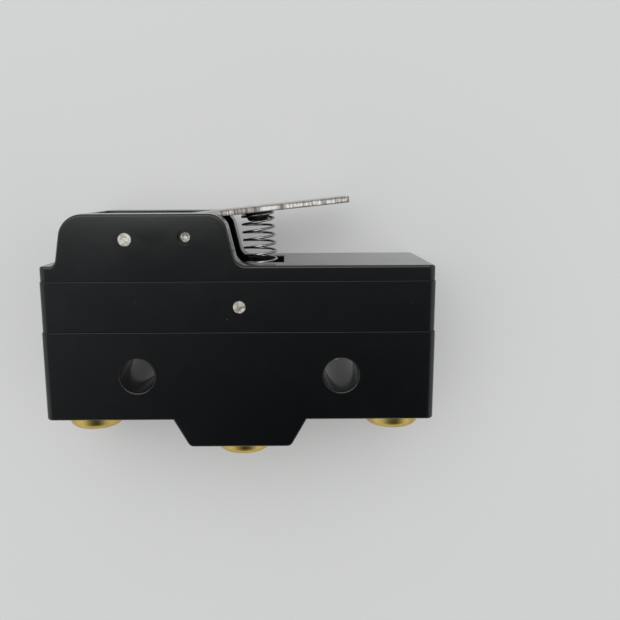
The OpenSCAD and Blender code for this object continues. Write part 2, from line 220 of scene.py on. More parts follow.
def mouldedBlack(name, look, seed):
    material, tree, shader = newMaterial(name, look["colour"], 0.0, 0.2)
    point = objectPoint(tree, centre=(seed, seed * 0.7, 0))
    flow = noiseField(tree, point, look["flow"], 4, 0.55, 0.4)
    fine = noiseField(tree, point, look["grain"], 2, 0.5)
    film = noiseField(tree, point, look["film"], 5, 0.6, 0.8)
    # handling film and flow marks change the gloss more than the colour
    gloss = total(tree, product(tree, flow, 1 - look["filmShare"]), product(tree, film, look["filmShare"]))
    rough = remap(tree, gloss, *look["glossEdges"], *look["roughness"])
    specks = noiseField(tree, point, look["dust"], 6, 0.75)
    speckMask = remap(tree, specks, *look["dustEdges"], 0, 1)
    marks = remap(tree, gloss, *look["tintEdges"], 0, look["tintShare"])
    tint = blendColour(tree, marks, look["colour"], look["dusty"])
    tint = blendColour(tree, product(tree, speckMask, look["dustTint"]), tint, look["speck"])
    tree.links.new(tint, shader.inputs["Base Color"])
    rough = total(tree, rough, product(tree, speckMask, look["dustRough"]))
    tree.links.new(rough, shader.inputs["Roughness"])
    height = total(tree, flow, product(tree, fine, look["grainHeight"]))
    addBump(tree, shader, height, *look["bump"])
    return material


# brush gives the grain's cells a metre along X, Y and Z
metalLooks = {
    "stainless": {
        "colour": (0.50, 0.485, 0.46),
        "stain": (0.36, 0.33, 0.30),
        "roughness": (0.2, 0.36),
        "brush": (60, 1800, 1500),
    },
    "springSteel": {
        "colour": (0.52, 0.52, 0.51),
        "stain": (0.2, 0.19, 0.18),
        "roughness": (0.16, 0.3),
        "brush": (700, 700, 700),
    },
    "brass": {
        "colour": (0.62, 0.455, 0.13),
        "stain": (0.46, 0.31, 0.085),
        "roughness": (0.22, 0.38),
        "brush": (900, 900, 900),
    },
    "brassPlate": {
        "colour": (0.66, 0.46, 0.17),
        "stain": (0.4, 0.26, 0.1),
        "roughness": (0.26, 0.44),
        "brush": (500, 120, 500),
    },
    "copper": {
        "colour": (0.60, 0.33, 0.17),
        "stain": (0.36, 0.18, 0.09),
        "roughness": (0.22, 0.38),
        "brush": (90, 900, 1600),
    },
    "silver": {
        "colour": (0.74, 0.73, 0.70),
        "stain": (0.42, 0.4, 0.37),
        "roughness": (0.25, 0.42),
        "brush": (800, 800, 800),
    },
    "cropped": {
        "colour": (0.78, 0.77, 0.71),
        "stain": (0.30, 0.27, 0.22),
        "roughness": (0.62, 0.42),
        "brush": (1700, 2300, 1700),
    },
    "tinned": {
        "colour": (0.42, 0.415, 0.395),
        "stain": (0.26, 0.24, 0.22),
        "roughness": (0.3, 0.5),
        "brush": (800, 800, 800),
    },
}

brushLook = {
    "streaks": 4.0,        # noise scale on top of the brush stretch
    "stains": 260,
    "stainEdges": (0.5, 0.75),
    "stainShare": 0.55,
    "streakEdges": (0.35, 0.7),
    "streakRough": 0.6,    # share of the streaks in the roughness; stains are the rest
    "roughEdges": (0.35, 0.68),
    "bump": (0.25, 0.00002),
}


def brushedMetal(name, look, marks=0.25):
    b = brushLook
    material, tree, shader = newMaterial(name, look["colour"], 1.0, 0.3)
    streaks = noiseField(tree, objectPoint(tree, look["brush"]), b["streaks"], 4, 0.6)
    stains = noiseField(tree, objectPoint(tree), b["stains"], 5, 0.6, 0.6)
    stained = remap(tree, stains, *b["stainEdges"], 0, b["stainShare"])
    tint = blendColour(tree, stained, look["colour"], look["stain"])
    streaked = remap(tree, streaks, *b["streakEdges"], 0, marks)
    tree.links.new(blendColour(tree, streaked, tint, look["stain"]), shader.inputs["Base Color"])
    mixed = total(tree, product(tree, streaks, b["streakRough"]), product(tree, stains, 1 - b["streakRough"]))
    tree.links.new(remap(tree, mixed, *b["roughEdges"], *look["roughness"]), shader.inputs["Roughness"])
    addBump(tree, shader, streaks, *b["bump"])
    return material


latheLook = {
    "waves": 16328,        # radians of the lathe marks' wave to a metre of radius
    "wobble": 1.5,
    "wobbleScale": 500,
    "stains": 420,
    "stainEdges": (0.48, 0.75),
    "stainShare": 0.6,
    "waveRough": 0.12,
    "roughEdges": (0.35, 0.75),
    "bump": (0.12, 0.00001),
}


def turnedMetal(name, look, centre, axis):
    # lathe marks: rings about the given axis (0, 1 or 2) through centre
    m = latheLook
    material, tree, shader = newMaterial(name, look["colour"], 1.0, 0.3)
    stretch = [0 if i == axis else 1 for i in range(3)]
    length = addNode(tree, "ShaderNodeVectorMath", operation="LENGTH")
    tree.links.new(objectPoint(tree, stretch, centre), length.inputs[0])
    wobble = noiseField(tree, objectPoint(tree), m["wobbleScale"], 3)
    rings = product(tree, length.outputs["Value"], m["waves"])
    wave = mathOf(tree, "SINE", total(tree, rings, product(tree, wobble, m["wobble"])))
    stains = noiseField(tree, objectPoint(tree), m["stains"], 5, 0.6, 0.5)
    stained = remap(tree, stains, *m["stainEdges"], 0, m["stainShare"])
    tree.links.new(blendColour(tree, stained, look["colour"], look["stain"]), shader.inputs["Base Color"])
    mixed = total(tree, product(tree, wave, m["waveRough"]), stains)
    tree.links.new(remap(tree, mixed, *m["roughEdges"], *look["roughness"]), shader.inputs["Roughness"])
    addBump(tree, shader, wave, *m["bump"])
    return material


# mesh helpers

weldGap = 2e-7      # metres between points that are one
touch = 0.004       # millimetres between a point and the plane it lies on
tipRadius = 0.05    # millimetres of flat where a turned piece closes on its axis


def arc(centre, radius, start, end, steps):
    # points of a circle's arc, angles in degrees
    points = []
    for i in range(steps + 1):
        a = math.radians(start + (end - start) * i / steps)
        points.append((centre[0] + radius * math.cos(a), centre[1] + radius * math.sin(a)))
    return points


def roundRect(x0, x1, y0, y1, r, steps=8):
    outline = arc((x1 - r, y0 + r), r, -90, 0, steps)
    outline += arc((x1 - r, y1 - r), r, 0, 90, steps)
    outline += arc((x0 + r, y1 - r), r, 90, 180, steps)
    outline += arc((x0 + r, y0 + r), r, 180, 270, steps)
    return outline


sharpestCorner = 0.35    # cosine beyond which an inset corner is cut short


def inset(outline, distance):
    # move a closed outline, drawn anticlockwise, inwards
    if not distance:
        return list(outline)
    moved = []
    count = len(outline)
    for i in range(count):
        before, here, after = (Vector(outline[(i + k) % count]) for k in (-1, 0, 1))
        first = (here - before).normalized()
        second = (after - here).normalized()
        normal = Vector((-first.y - second.y, first.x + second.x)).normalized()
        stretch = 1 / max(sharpestCorner, normal.dot(Vector((-first.y, first.x))))
        moved.append(tuple(here + normal * distance * stretch))
    return moved


def roundedLevels(low, high, lowRadius, highRadius, steps=4):
    # (height, inset) pairs of a slab with rounded rims
    levels = []
    for i in range(steps + 1):
        a = math.radians(90 * i / steps)
        levels.append((low + lowRadius * (1 - math.cos(a)), lowRadius * (1 - math.sin(a))))
    for i in range(steps + 1):
        a = math.radians(90 * i / steps)
        levels.append((high - highRadius * (1 - math.sin(a)), highRadius * (1 - math.cos(a))))
    return levels


def linkMesh(name, bm):
    bmesh.ops.recalc_face_normals(bm, faces=bm.faces)
    mesh = bpy.data.meshes.new(name)
    bm.to_mesh(mesh)
    bm.free()
    obj = bpy.data.objects.new(name, mesh)
    bpy.context.scene.collection.objects.link(obj)
    return obj


def skinRings(name, rings, closed=False):
    # a tube through rings of points in millimetres, with its ends filled unless it closes on itself
    bm = bmesh.new()
    loops = [[bm.verts.new(Vector(p) * mm) for p in ring] for ring in rings]
    count = len(rings[0])
    last = len(loops) if closed else len(loops) - 1
    for i in range(last):
        one, two = loops[i], loops[(i + 1) % len(loops)]
        for k in range(count):
            n = (k + 1) % count
            bm.faces.new((one[k], one[n], two[n], two[k]))
    if not closed:
        bm.faces.new(list(reversed(loops[0])))
        bm.faces.new(loops[-1])
    return linkMesh(name, bm)


def standUp(u, v, h):
    # outline drawn in X and Z, height along Y
    return (u, h, v)


def faceOn(u, v, h):
    # outline drawn in X and Y, height along Z
    return (u, v, h)


def slab(name, outline, levels, place):
    rings = [[place(u, v, h) for u, v in inset(outline, d)] for h, d in levels]
    return skinRings(name, rings)


def lathe(name, profile, centre, axis, steps=96):
    # profile of (radius, height) pairs turned about the Y or Z axis; the ends close on the axis
    rings = []
    for radius, height in profile:
        ring = []
        for i in range(steps):
            a = 2 * math.pi * i / steps
            c, s = radius * math.cos(a), radius * math.sin(a)
            if axis == "Z":
                ring.append((centre[0] + c, centre[1] + s, centre[2] + height))
            else:
                ring.append((centre[0] + c, centre[1] + height, centre[2] - s))
        rings.append(ring)
    return skinRings(name, rings)


def blockOf(name, x0, x1, y0, y1, z0, z1):
    outline = [(x0, y0), (x1, y0), (x1, y1), (x0, y1)]
    return slab(name, outline, [(z0, 0), (z1, 0)], faceOn)


def applyModifiers(obj):
    graph = bpy.context.evaluated_depsgraph_get()
    mesh = bpy.data.meshes.new_from_object(obj.evaluated_get(graph))
    obj.modifiers.clear()
    obj.data = mesh


def combine(obj, tool, operation):
    change = obj.modifiers.new("change", "BOOLEAN")
    change.operation = operation
    change.object = tool
    change.solver = "MANIFOLD"
    applyModifiers(obj)
    bpy.data.objects.remove(tool)
    return obj


def cadCopy(node, name):
    # the CAD solid as one welded mesh with its flat faces whole
    mesh = nodes[node].data.copy()
    obj = bpy.data.objects.new(name, mesh)
    bpy.context.scene.collection.objects.link(obj)
    bm = bmesh.new()
    bm.from_mesh(mesh)
    bmesh.ops.remove_doubles(bm, verts=bm.verts, dist=weldGap)
    bmesh.ops.dissolve_limit(bm, angle_limit=math.radians(0.2), verts=bm.verts, edges=bm.edges)
    bm.to_mesh(mesh)
    bm.free()
    mesh.materials.clear()
    if mesh.has_custom_normals:
        mesh.attributes.remove(mesh.attributes["custom_normal"])
    return obj


# where the mouldings' visible edges lie against the solids', in millimetres: (solid, visible)
edgeFit = {
    "x": ((-24.35, -24.35), (-21.85, -22.15), (-18.6, -18.6), (25, 25)),
    "y": (
        (-12, -12), (-9.2, -9.3), (-8.5, -8.5),
        (-6.2, -6.2), (-5.65, -5.75), (-5, -5),
        (5, 5), (5.42, 5.5), (6, 6),
        (11, 11), (11.7, 11.8), (12.2, 12.2),
        (19, 19), (19.85, 19.95), (30, 30),
    ),
}


def fitted(value, pairs):
    for (solidLow, visibleLow), (solidHigh, visibleHigh) in zip(pairs, pairs[1:]):
        if solidLow <= value <= solidHigh:
            return visibleLow + (visibleHigh - visibleLow) * (value - solidLow) / (solidHigh - solidLow)
    return value


def fittedCopy(node, name):
    obj = cadCopy(node, name)
    for vertex in obj.data.vertices:
        vertex.co.x = fitted(vertex.co.x / mm, edgeFit["x"]) * mm
        vertex.co.y = fitted(vertex.co.y / mm, edgeFit["y"]) * mm
    return obj


sharpAngle = 0.5    # radians


def softenEdges(obj, chosen, width, segments=2):
    # round the edges that chosen(edge) picks, width in millimetres
    bm = bmesh.new()
    bm.from_mesh(obj.data)
    bmesh.ops.remove_doubles(bm, verts=bm.verts, dist=weldGap)
    edges = []
    for edge in bm.edges:
        if len(edge.link_faces) == 2 and edge.calc_face_angle(0) > sharpAngle and chosen(edge):
            edges.append(edge)
    bmesh.ops.bevel(
        bm, geom=edges, offset=width * mm, segments=segments, profile=0.5, affect="EDGES",
        clamp_overlap=False, loop_slide=True, miter_outer="ARC",
    )
    bm.to_mesh(obj.data)
    bm.free()
    return len(edges)


normalWeight = 80    # pull of the large faces on the shading normals


def smoothShade(obj, angle=35):
    mesh = obj.data
    bm = bmesh.new()
    bm.from_mesh(mesh)
    bmesh.ops.remove_doubles(bm, verts=bm.verts, dist=weldGap)
    bmesh.ops.dissolve_degenerate(bm, edges=bm.edges, dist=1e-7)
    bmesh.ops.recalc_face_normals(bm, faces=bm.faces)
    bm.to_mesh(mesh)
    bm.free()
    for polygon in mesh.polygons:
        polygon.use_smooth = True
    mesh.set_sharp_from_angle(angle=math.radians(angle))
    weigh = obj.modifiers.new("weigh", "WEIGHTED_NORMAL")
    weigh.keep_sharp = True
    weigh.weight = normalWeight
    applyModifiers(obj)
    return obj


def finishPiece(obj, material, body, slot, *replaced):
    obj.data.materials.clear()
    obj.data.materials.append(material)
    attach(obj, body)
    if replaced:
        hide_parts(*replaced)
    return obj


# case mouldings

caseSizes = {
    "halfLength": 24.35,
    "thickness": 17.45,
    "baseBottom": -5.75,
    "frameJoint": 5.5,
    "coverJoint": 11.8,
    "deck": 13.7,
    "upright": 0.85,      # radius of the upright edges
    "rim": 0.25,          # radius along the bottom and round the foot
    "joint": 0.06,        # small radius where two mouldings meet
    "frameStep": 0.1,     # how far the middle frame's ends stand back
    "coverStep": 0.2,
    "faceStep": 0.05,     # how far the upper mouldings' faces stand back
    "skin": 0.015,        # how far the visible skin lies inside the solid
    "holePitch": 25.4,
    "holeRadius": 2.15,
    "holeRim": 0.2,
}
footSizes = {"topHalf": 8.4, "endHalf": 6.4, "bottom": -9.3, "corner": 0.8, "root": 2}
humpSizes = {
    "top": 19.95,
    "left": -22.15,
    "right": -0.1,
    "leanLeft": 9.6,
    "leanRight": 13.6,
    "crownLeft": 3.0,
    "crownRight": 2.3,
    "filletLeft": 0.9,
    "filletRight": 1.5,
    "rim": 0.3,
    "sink": 0.025,        # how far the fillets run into the deck
    "root": 1.5,          # depth of the ear's root below the deck
}
grooveSizes = {
    "middle": 15.3,
    "width": 0.7,
    "depth": 0.22,
    "bottom": 1.5,        # heights above the deck
    "top": 4.4,
    "steps": 12,
    "fade": 3,            # steps over which each end runs out
    "least": 0.002,
    "flank": 0.6,
    "out": 0.1,
}
slotSizes = {
    "low": 4.2,
    "high": 13.25,
    "end": 5.6,
    "left": -18.6,
    "backFrom": 19,       # height above which the slot's back edge shows
    "below": 0.6,         # reach of the softened rims below the deck
    "soft": 0.12,
}
lipSizes = {"half": 21.2, "low": 1.87, "high": 15.58, "base": (4.0, 10.4), "cover": (10.8, 12.3)}


def storeyEnvelope(name, low, high, half, step, lowRadius, highRadius):
    c = caseSizes
    skin = c["skin"]
    outline = roundRect(-half + skin, half - skin, step + skin, c["thickness"] - step - skin, c["upright"])
    levels = roundedLevels(low + skin, high - skin, lowRadius, highRadius)
    return slab(name, outline, levels, standUp)


def footEnvelope(name):
    f, c = footSizes, caseSizes
    slope = math.atan((f["topHalf"] - f["endHalf"]) / (c["baseBottom"] - f["bottom"]))
    cornerX = f["endHalf"] - f["corner"] * math.tan(math.pi / 4 - slope / 2)
    angle = math.degrees(slope)
    right = arc((cornerX, f["bottom"] + f["corner"]), f["corner"], -90, -angle, 6)
    outline = [(-x, y) for x, y in reversed(right)] + right
    root = c["baseBottom"] + f["root"]
    outline += [(f["topHalf"], c["baseBottom"]), (f["topHalf"], root)]
    outline += [(-f["topHalf"], root), (-f["topHalf"], c["baseBottom"])]
    outline = inset(outline, c["skin"])
    levels = roundedLevels(c["skin"], c["thickness"] - c["skin"], c["rim"], c["rim"])
    return slab(name, outline, levels, faceOn)


def holeCutter(name, x, y, radius, rim):
    # flares over a rounded rim at both faces
    c = caseSizes
    top, bottom = c["thickness"] - c["skin"], c["skin"]
    steps, past = 5, 0.5
    profile = [(radius + rim, bottom - past)]
    for i in range(steps + 1):
        a = math.radians(90 * i / steps)
        profile.append((radius + rim * (1 - math.sin(a)), bottom + rim * (1 - math.cos(a))))
    for i in range(steps + 1):
        a = math.radians(90 * i / steps)
        profile.append((radius + rim * (1 - math.cos(a)), top - rim * (1 - math.sin(a))))
    profile.append((radius + rim, top + past))
    return lathe(name, profile, (x, y, 0), "Z")


def lips(span):
    # room for the tongues and lips that stand inside the next moulding
    s = lipSizes
    return blockOf("lips", -s["half"], s["half"], *span, s["low"], s["high"])


def buildBase():
    c = caseSizes
    low, high = c["baseBottom"], c["frameJoint"]
    shell = storeyEnvelope("baseMoulding", low, high, c["halfLength"], 0, c["rim"], c["joint"])
    combine(shell, footEnvelope("foot"), "UNION")
    combine(shell, lips(lipSizes["base"]), "UNION")
    combine(shell, fittedCopy("base", "baseSolid"), "INTERSECT")
    for side in (-1, 1):
        hole = holeCutter("hole", side * c["holePitch"] / 2, 0, c["holeRadius"] + c["skin"], c["holeRim"])
        combine(shell, hole, "DIFFERENCE")
    return smoothShade(shell)


def buildFrame():
    c = caseSizes
    low, high, half = c["frameJoint"], c["coverJoint"], c["halfLength"] - c["frameStep"]
    shell = storeyEnvelope("frameMoulding", low, high, half, c["faceStep"], c["joint"], c["joint"])
    combine(shell, fittedCopy("middle_frame", "frameSolid"), "INTERSECT")
    return smoothShade(shell)


def humpOutline():
    h = humpSizes
    deck = caseSizes["deck"] - h["sink"]
    leftY = h["top"] - h["crownLeft"]
    rightY = h["top"] - h["crownRight"]
    tanL, cosL = math.tan(math.radians(h["leanLeft"])), math.cos(math.radians(h["leanLeft"]))
    tanR, cosR = math.tan(math.radians(h["leanRight"])), math.cos(math.radians(h["leanRight"]))
    leftX = h["left"] + tanL * (leftY - deck) + h["crownLeft"] / cosL
    rightX = h["right"] - tanR * (rightY - deck) - h["crownRight"] / cosR
    runL = h["filletLeft"] / cosL - tanL * h["filletLeft"]
    runR = h["filletRight"] / cosR - tanR * h["filletRight"]
    outline = [(h["left"] - runL, deck - h["root"]), (h["right"] + runR, deck - h["root"])]
    filletR = (h["right"] + runR, deck + h["filletRight"])
    outline += arc(filletR, h["filletRight"], 270, 180 + h["leanRight"], 8)
    outline += arc((rightX, rightY), h["crownRight"], h["leanRight"], 90, 12)
    outline += arc((leftX, leftY), h["crownLeft"], 90, 180 - h["leanLeft"], 12)
    outline += arc((h["left"] - runL, deck + h["filletLeft"]), h["filletLeft"], -h["leanLeft"], -90, 8)
    return outline


def near(value, place):
    return abs(value - place) < touch


def slotRim(edge):
    # rims of the slot and of the spring's well
    s = slotSizes
    a, b = edge.verts[0].co / mm, edge.verts[1].co / mm
    if min(a.y, b.y) < caseSizes["deck"] - s["below"]:
        return False
    hidden = max(a.x, b.x) < s["left"] + 0.01
    for z in (s["low"], s["high"]):
        if near(a.z, z) and near(b.z, z) and not hidden:
            return True
    ends = near(a.x, s["end"]) and near(b.x, s["end"])
    back = near(a.x, s["left"]) and near(b.x, s["left"]) and min(a.y, b.y) > s["backFrom"]
    return ends or back


def earGroove(name):
    # the shallow parting groove down the front ear's slanted end
    h, g = humpSizes, grooveSizes
    lean = math.radians(h["leanRight"])
    deck = caseSizes["deck"]
    half = g["width"] / 2
    rings = []
    for i in range(g["steps"] + 1):
        y = deck + g["bottom"] + (g["top"] - g["bottom"]) * i / g["steps"]
        x = h["right"] - math.tan(lean) * (y - deck)
        ends = min(1, i / g["fade"], (g["steps"] - i) / g["fade"])
        depth = g["depth"] * ends + g["least"]
        inner = (-depth * g["flank"], half * g["flank"])
        ring = [(-depth, 0), inner, (g["out"], half), (g["out"], -half), (inner[0], -inner[1])]
        rings.append([(x + dx, y, g["middle"] + dz) for dx, dz in ring])
    return skinRings(name, rings)


def buildCover():
    c, h = caseSizes, humpSizes
    skin, step = c["skin"], c["faceStep"]
    low, high, half = c["coverJoint"], c["deck"], c["halfLength"] - c["coverStep"]
    shell = storeyEnvelope("coverMoulding", low, high, half, step, c["joint"], h["rim"])
    levels = roundedLevels(step + skin, c["thickness"] - step - skin, h["rim"], h["rim"])
    combine(shell, slab("hump", inset(humpOutline(), skin), levels, faceOn), "UNION")
    combine(shell, lips(lipSizes["cover"]), "UNION")
    combine(shell, fittedCopy("cover", "coverSolid"), "INTERSECT")
    combine(shell, earGroove("groove"), "DIFFERENCE")
    count = softenEdges(shell, slotRim, slotSizes["soft"])
    print("stage: cover rims softened,", count, "edges")
    return smoothShade(shell)


for build, node, look, seed in (
    (buildBase, "base", "mouldedBase", 0.013),
    (buildFrame, "middle_frame", "mouldedFrame", 0.031),
    (buildCover, "cover", "mouldedCover", 0.057),
):
    finishPiece(build(), mouldedBlack(look, mouldedLook, seed), "case", "moulding_black", node)
print("stage: mouldings built")


# lever

leverSizes = {
    "pivot": (-13.5, 16.88),
    "slope": 6,
    "underside": 1.343,
    "thickness": 0.75,
    "low": 4.725,
    "high": 12.725,
    "seat": (15.9, 1.77),  # place along the strip and radius that keep their edges
    "edge": 0.06,
    "edgesFrom": 11.5,    # the strip's edges are softened beyond this place
    "brush": (60, 1600, 1900),     # cells a metre along, across and through the width
    "cutMarks": (5200, 420, 900),
}


def leverLocal(point):
    # position along and across the strip, in millimetres
    s = leverSizes
    a = math.radians(s["slope"])
    x, y = point.x / mm - s["pivot"][0], point.y / mm - s["pivot"][1]
    return x * math.cos(a) + y * math.sin(a), y * math.cos(a) - x * math.sin(a), point.z / mm


def leverRim(edge):
    # the outline of the strip and of its cheeks, but not the spring's seat
    s = leverSizes
    ends = [leverLocal(v.co) for v in edge.verts]
    if all(near(z, s["low"]) or near(z, s["high"]) for x, y, z in ends):
        return True
    flats = (s["underside"], s["underside"] + s["thickness"])
    onFlat = all(near(y, flats[0]) or near(y, flats[1]) for x, y, z in ends)
    middle = (s["low"] + s["high"]) / 2
    onSeat = all(math.hypot(x - s["seat"][0], z - middle) < s["seat"][1] for x, y, z in ends)
    return onFlat and not onSeat and min(x for x, y, z in ends) > s["edgesFrom"]


leverEdge = {
    "rim": (0.17, 0.145, 0.125),      # dark colour of the sheared edge, darkened as painted shade above and below the painted highlight
    "plain": (0.46, 0.42, 0.38),
    # painted highlight: the white laid on the edge's core
    "spark": (0.97, 0.95, 0.92),
    "from": 10.0,
    "to": 27.8,
    "smooth": 17.8,                   # middle of the smooth stretch, where the painted highlight runs unbroken
    "smoothReach": (0.06, 0.08),      # where it fades, as shares of the run from the middle
    # strength of the painted highlight along the smooth stretch
    "smoothHighlightTone": 0.9,
    "core": 0.48,                     # height of the painted highlight's core, as a share of the thickness
    "coreReach": (0.00014, 0.00027),  # where it fades, in metres from its middle
    "wander": 0.00005,
    "combEdges": (0.42, 0.58),
    "combLow": 0.3,
    "skin": (0.00003, 0.00001),       # depth at which the cut sides begin
    "tipRun": (0.975, 0.98),
    "tipSides": (0.0006, 0.0004),
    "plainShare": 0.5,
    "leastMetal": 0.1,                # least metallic, under the painted highlight, so its white colour shows as painted light
    "roughness": (0.5, 0.3),
    "streakHeight": 0.25,
    "markHeight": 5.0,
    "bump": (0.8, 0.00002),
    # strength of the painted highlight along the strip
    "highlightTones": (
        (10.2, 0.35), (10.9, 1.0), (11.7, 0.25), (12.4, 0.95), (13.2, 0.3), (14.6, 0.36), (16.2, 0.3),
        (16.7, 1.0), (18.4, 0.9), (19.1, 0.25), (19.6, 0.3), (19.9, 1.0), (27.2, 1.0), (27.5, 0.2),
    ),
}


def edgeHighlightTones(tree, place, look):
    # strength of the painted highlight at stops along the strip
    ramp = addNode(tree, "ShaderNodeValToRGB")
    stops = ramp.color_ramp.elements
    span = look["to"] - look["from"]
    for i, (where, tone) in enumerate(look["highlightTones"]):
        at = (where - look["from"]) / span
        stop = stops[i] if i < 2 else stops.new(at)
        stop.position = at
        stop.color = (tone, tone, tone, 1)
    tree.links.new(place, ramp.inputs["Fac"])
    return ramp.outputs["Color"]


def edgeMask(tree, run, off, half, rims):
    # the cut sides, and the cut end close to them
    sheared = remap(tree, off, half - rims["skin"][0], half - rims["skin"][1], 0, 1)
    atEnd = remap(tree, run, *rims["tipRun"], 0, 1)
    beside = remap(tree, off, half - rims["tipSides"][0], half - rims["tipSides"][1], 0, 1)
    return mathOf(tree, "MAXIMUM", sheared, product(tree, atEnd, beside))


def edgeGlint(tree, plain, run, fromCore, cuts, rims):
    # painted highlight: a bright core, combed by the cut marks except along the smooth stretch
    wander = remap(tree, noiseField(tree, plain, 900, 2), 0.3, 0.7, -rims["wander"], rims["wander"])
    band = remap(tree, total(tree, fromCore, wander), *rims["coreReach"], 1, 0)
    comb = remap(tree, cuts, *rims["combEdges"], rims["combLow"], 1)
    smoothRun = (rims["smooth"] - rims["from"]) / (rims["to"] - rims["from"])
    # painted highlight left whole along the smooth stretch
    smoothHighlight = remap(tree, gapFrom(tree, run, smoothRun), *rims["smoothReach"], rims["smoothHighlightTone"], 0)
    comb = mathOf(tree, "MAXIMUM", comb, smoothHighlight)
    return product(tree, product(tree, band, comb), edgeHighlightTones(tree, run, rims))


def leverSteel(look, sizes, rims):
    # brushed faces, sheared edges with cut marks across them, and painted shade and a painted highlight on
    # the edges
    b = brushLook
    material, tree, shader = newMaterial("leverSteel", look["colour"], 1.0, 0.3)
    plain = objectPoint(tree)
    slope = math.radians(sizes["slope"])
    turned = mapped(tree, plain, turn=(0, 0, -slope))
    streaks = noiseField(tree, mapped(tree, turned, stretch=sizes["brush"]), 1.0, 4, 0.6)
    cuts = noiseField(tree, mapped(tree, turned, stretch=sizes["cutMarks"]), 1.0, 2, 0.5)
    stains = noiseField(tree, plain, 300, 5, 0.6, 0.6)
    tint = blendColour(tree, remap(tree, stains, *b["stainEdges"], 0, 0.5), look["colour"], look["stain"])
    # distance from the middle of the width, share of the run along the strip, distance from the core
    half = (sizes["high"] - sizes["low"]) / 2 * mm
    off = gapFrom(tree, partOf(tree, plain, "Z"), (sizes["low"] + sizes["high"]) / 2 * mm)
    px, py = sizes["pivot"]
    start = (px * math.cos(slope) + py * math.sin(slope) + rims["from"]) * mm
    end = start + (rims["to"] - rims["from"]) * mm
    run = remap(tree, partOf(tree, turned, "X"), start, end, 0, 1)
    rise = sizes["underside"] + sizes["thickness"] * rims["core"]
    core = (py * math.cos(slope) - px * math.sin(slope) + rise) * mm
    fromCore = gapFrom(tree, partOf(tree, turned, "Y"), core)
    edge = edgeMask(tree, run, off, half, rims)
    glint = edgeGlint(tree, plain, run, fromCore, cuts, rims)
    # edge colour: dark painted shade mixed with the cut marks' grey, then the white painted highlight over it
    cut = blendColour(tree, remap(tree, cuts, 0.4, 0.6, 0, rims["plainShare"]), rims["rim"], rims["plain"])
    cut = blendColour(tree, glint, cut, rims["spark"])
    tree.links.new(blendColour(tree, edge, tint, cut), shader.inputs["Base Color"])
    # metallic drops under the painted highlight so its white colour shows
    metal = remap(tree, product(tree, edge, glint), 0, 1, 1, rims["leastMetal"])
    tree.links.new(metal, shader.inputs["Metallic"])
    faceRough = remap(tree, streaks, *b["roughEdges"], *look["roughness"])
    edgeRough = remap(tree, cuts, 0.3, 0.7, *rims["roughness"])
    change = product(tree, edge, mathOf(tree, "SUBTRACT", edgeRough, faceRough))
    tree.links.new(total(tree, faceRough, change), shader.inputs["Roughness"])
    marks = product(tree, edge, product(tree, cuts, rims["markHeight"]))
    addBump(tree, shader, total(tree, product(tree, streaks, rims["streakHeight"]), marks), *rims["bump"])
    return material


def buildLever():
    lever = cadCopy("lever", "leverStrip")
    count = softenEdges(lever, leverRim, leverSizes["edge"])
    print("stage: lever rims softened,", count, "edges")
    return smoothShade(lever, 30)


leverMetal = leverSteel(metalLooks["stainless"], leverSizes, leverEdge)
finishPiece(buildLever(), leverMetal, "lever", "stainless", "lever")


# seat pressed out of the lever, which the spring's last turn fits round

seatSizes = {
    "along": 15.9,
    "middle": 8.725,
    "profile": (
        (tipRadius, 0.2), (1.68, 0.2), (1.68, 0.0), (1.64, -0.22), (1.5, -0.62),
        (1.34, -0.98), (1.2, -1.12), (1.0, -1.17), (tipRadius, -1.17),
    ),
    # near black for the shade the seat sits in under the lever: painted shade
    "colour": (0.10, 0.095, 0.09),
    "stain": (0.03, 0.028, 0.026),
    "marks": 0.5,
}


def buildSeat(s):
    seat = lathe("springSeat", s["profile"], (0, 0, 0), "Y", 64)
    a = math.radians(leverSizes["slope"])
    x, y = s["along"], leverSizes["underside"]
    px, py = leverSizes["pivot"]
    place = (px + x * math.cos(a) - y * math.sin(a), py + x * math.sin(a) + y * math.cos(a), s["middle"])
    seat.data.transform(Matrix.Translation(Vector(place) * mm) @ Matrix.Rotation(a, 4, "Z"))
    look = dict(metalLooks["tinned"], colour=s["colour"], stain=s["stain"])
    material = brushedMetal("seatPaintedShadeSteel", look, s["marks"])
    return finishPiece(smoothShade(seat, 40), material, "lever", "stainless")


buildSeat(seatSizes)
print("stage: lever built")


# return spring

springSizes = {
    "top": (2.19, 19.72),
    "bottom": (2.68, 12.46),
    "middle": 8.725,
    "radius": 2.05,
    "wire": 0.31,
    "working": 6.376,     # open turns between the two closed ones
    "phase": -0.376,
    "packed": 1.05,       # rise of a closed turn, in wires
    "slope": 6,
    "steps": 44,
    "sides": 12,
}


def coilHeight(s, turn, turns, free):
    packed = s["wire"] * s["packed"]
    rise = (free - 2 * packed) / (turns - 2)
    if turn < 1:
        return turn * packed
    if turn > turns - 1:
        return free - (turns - turn) * packed
    return packed + (turn - 1) * rise


def springPoint(s, turn, around, turns, free):
    a = 2 * math.pi * (turn + s["phase"])
    radius = s["radius"] + s["wire"] / 2 * math.cos(around)
    height = coilHeight(s, turn, turns, free)
    share = height / free
    tilt = math.radians(s["slope"] * share)
    x = -radius * math.cos(a)
    y = s["wire"] / 2 * math.sin(around)
    return (
        s["bottom"][0] + (s["top"][0] - s["bottom"][0]) * share + x * math.cos(tilt) - y * math.sin(tilt),
        s["bottom"][1] + height + x * math.sin(tilt) + y * math.cos(tilt),
        s["middle"] + radius * math.sin(a),
    )


def buildSpring(s):
    free = s["top"][1] - s["bottom"][1]
    turns = s["working"] + 2
    rings = []
    for i in range(int(turns * s["steps"]) + 1):
        turn = i / s["steps"]
        around = [2 * math.pi * k / s["sides"] for k in range(s["sides"])]
        rings.append([springPoint(s, turn, angle, turns, free) for angle in around])
    return smoothShade(skinRings("coilSpring", rings), 40)


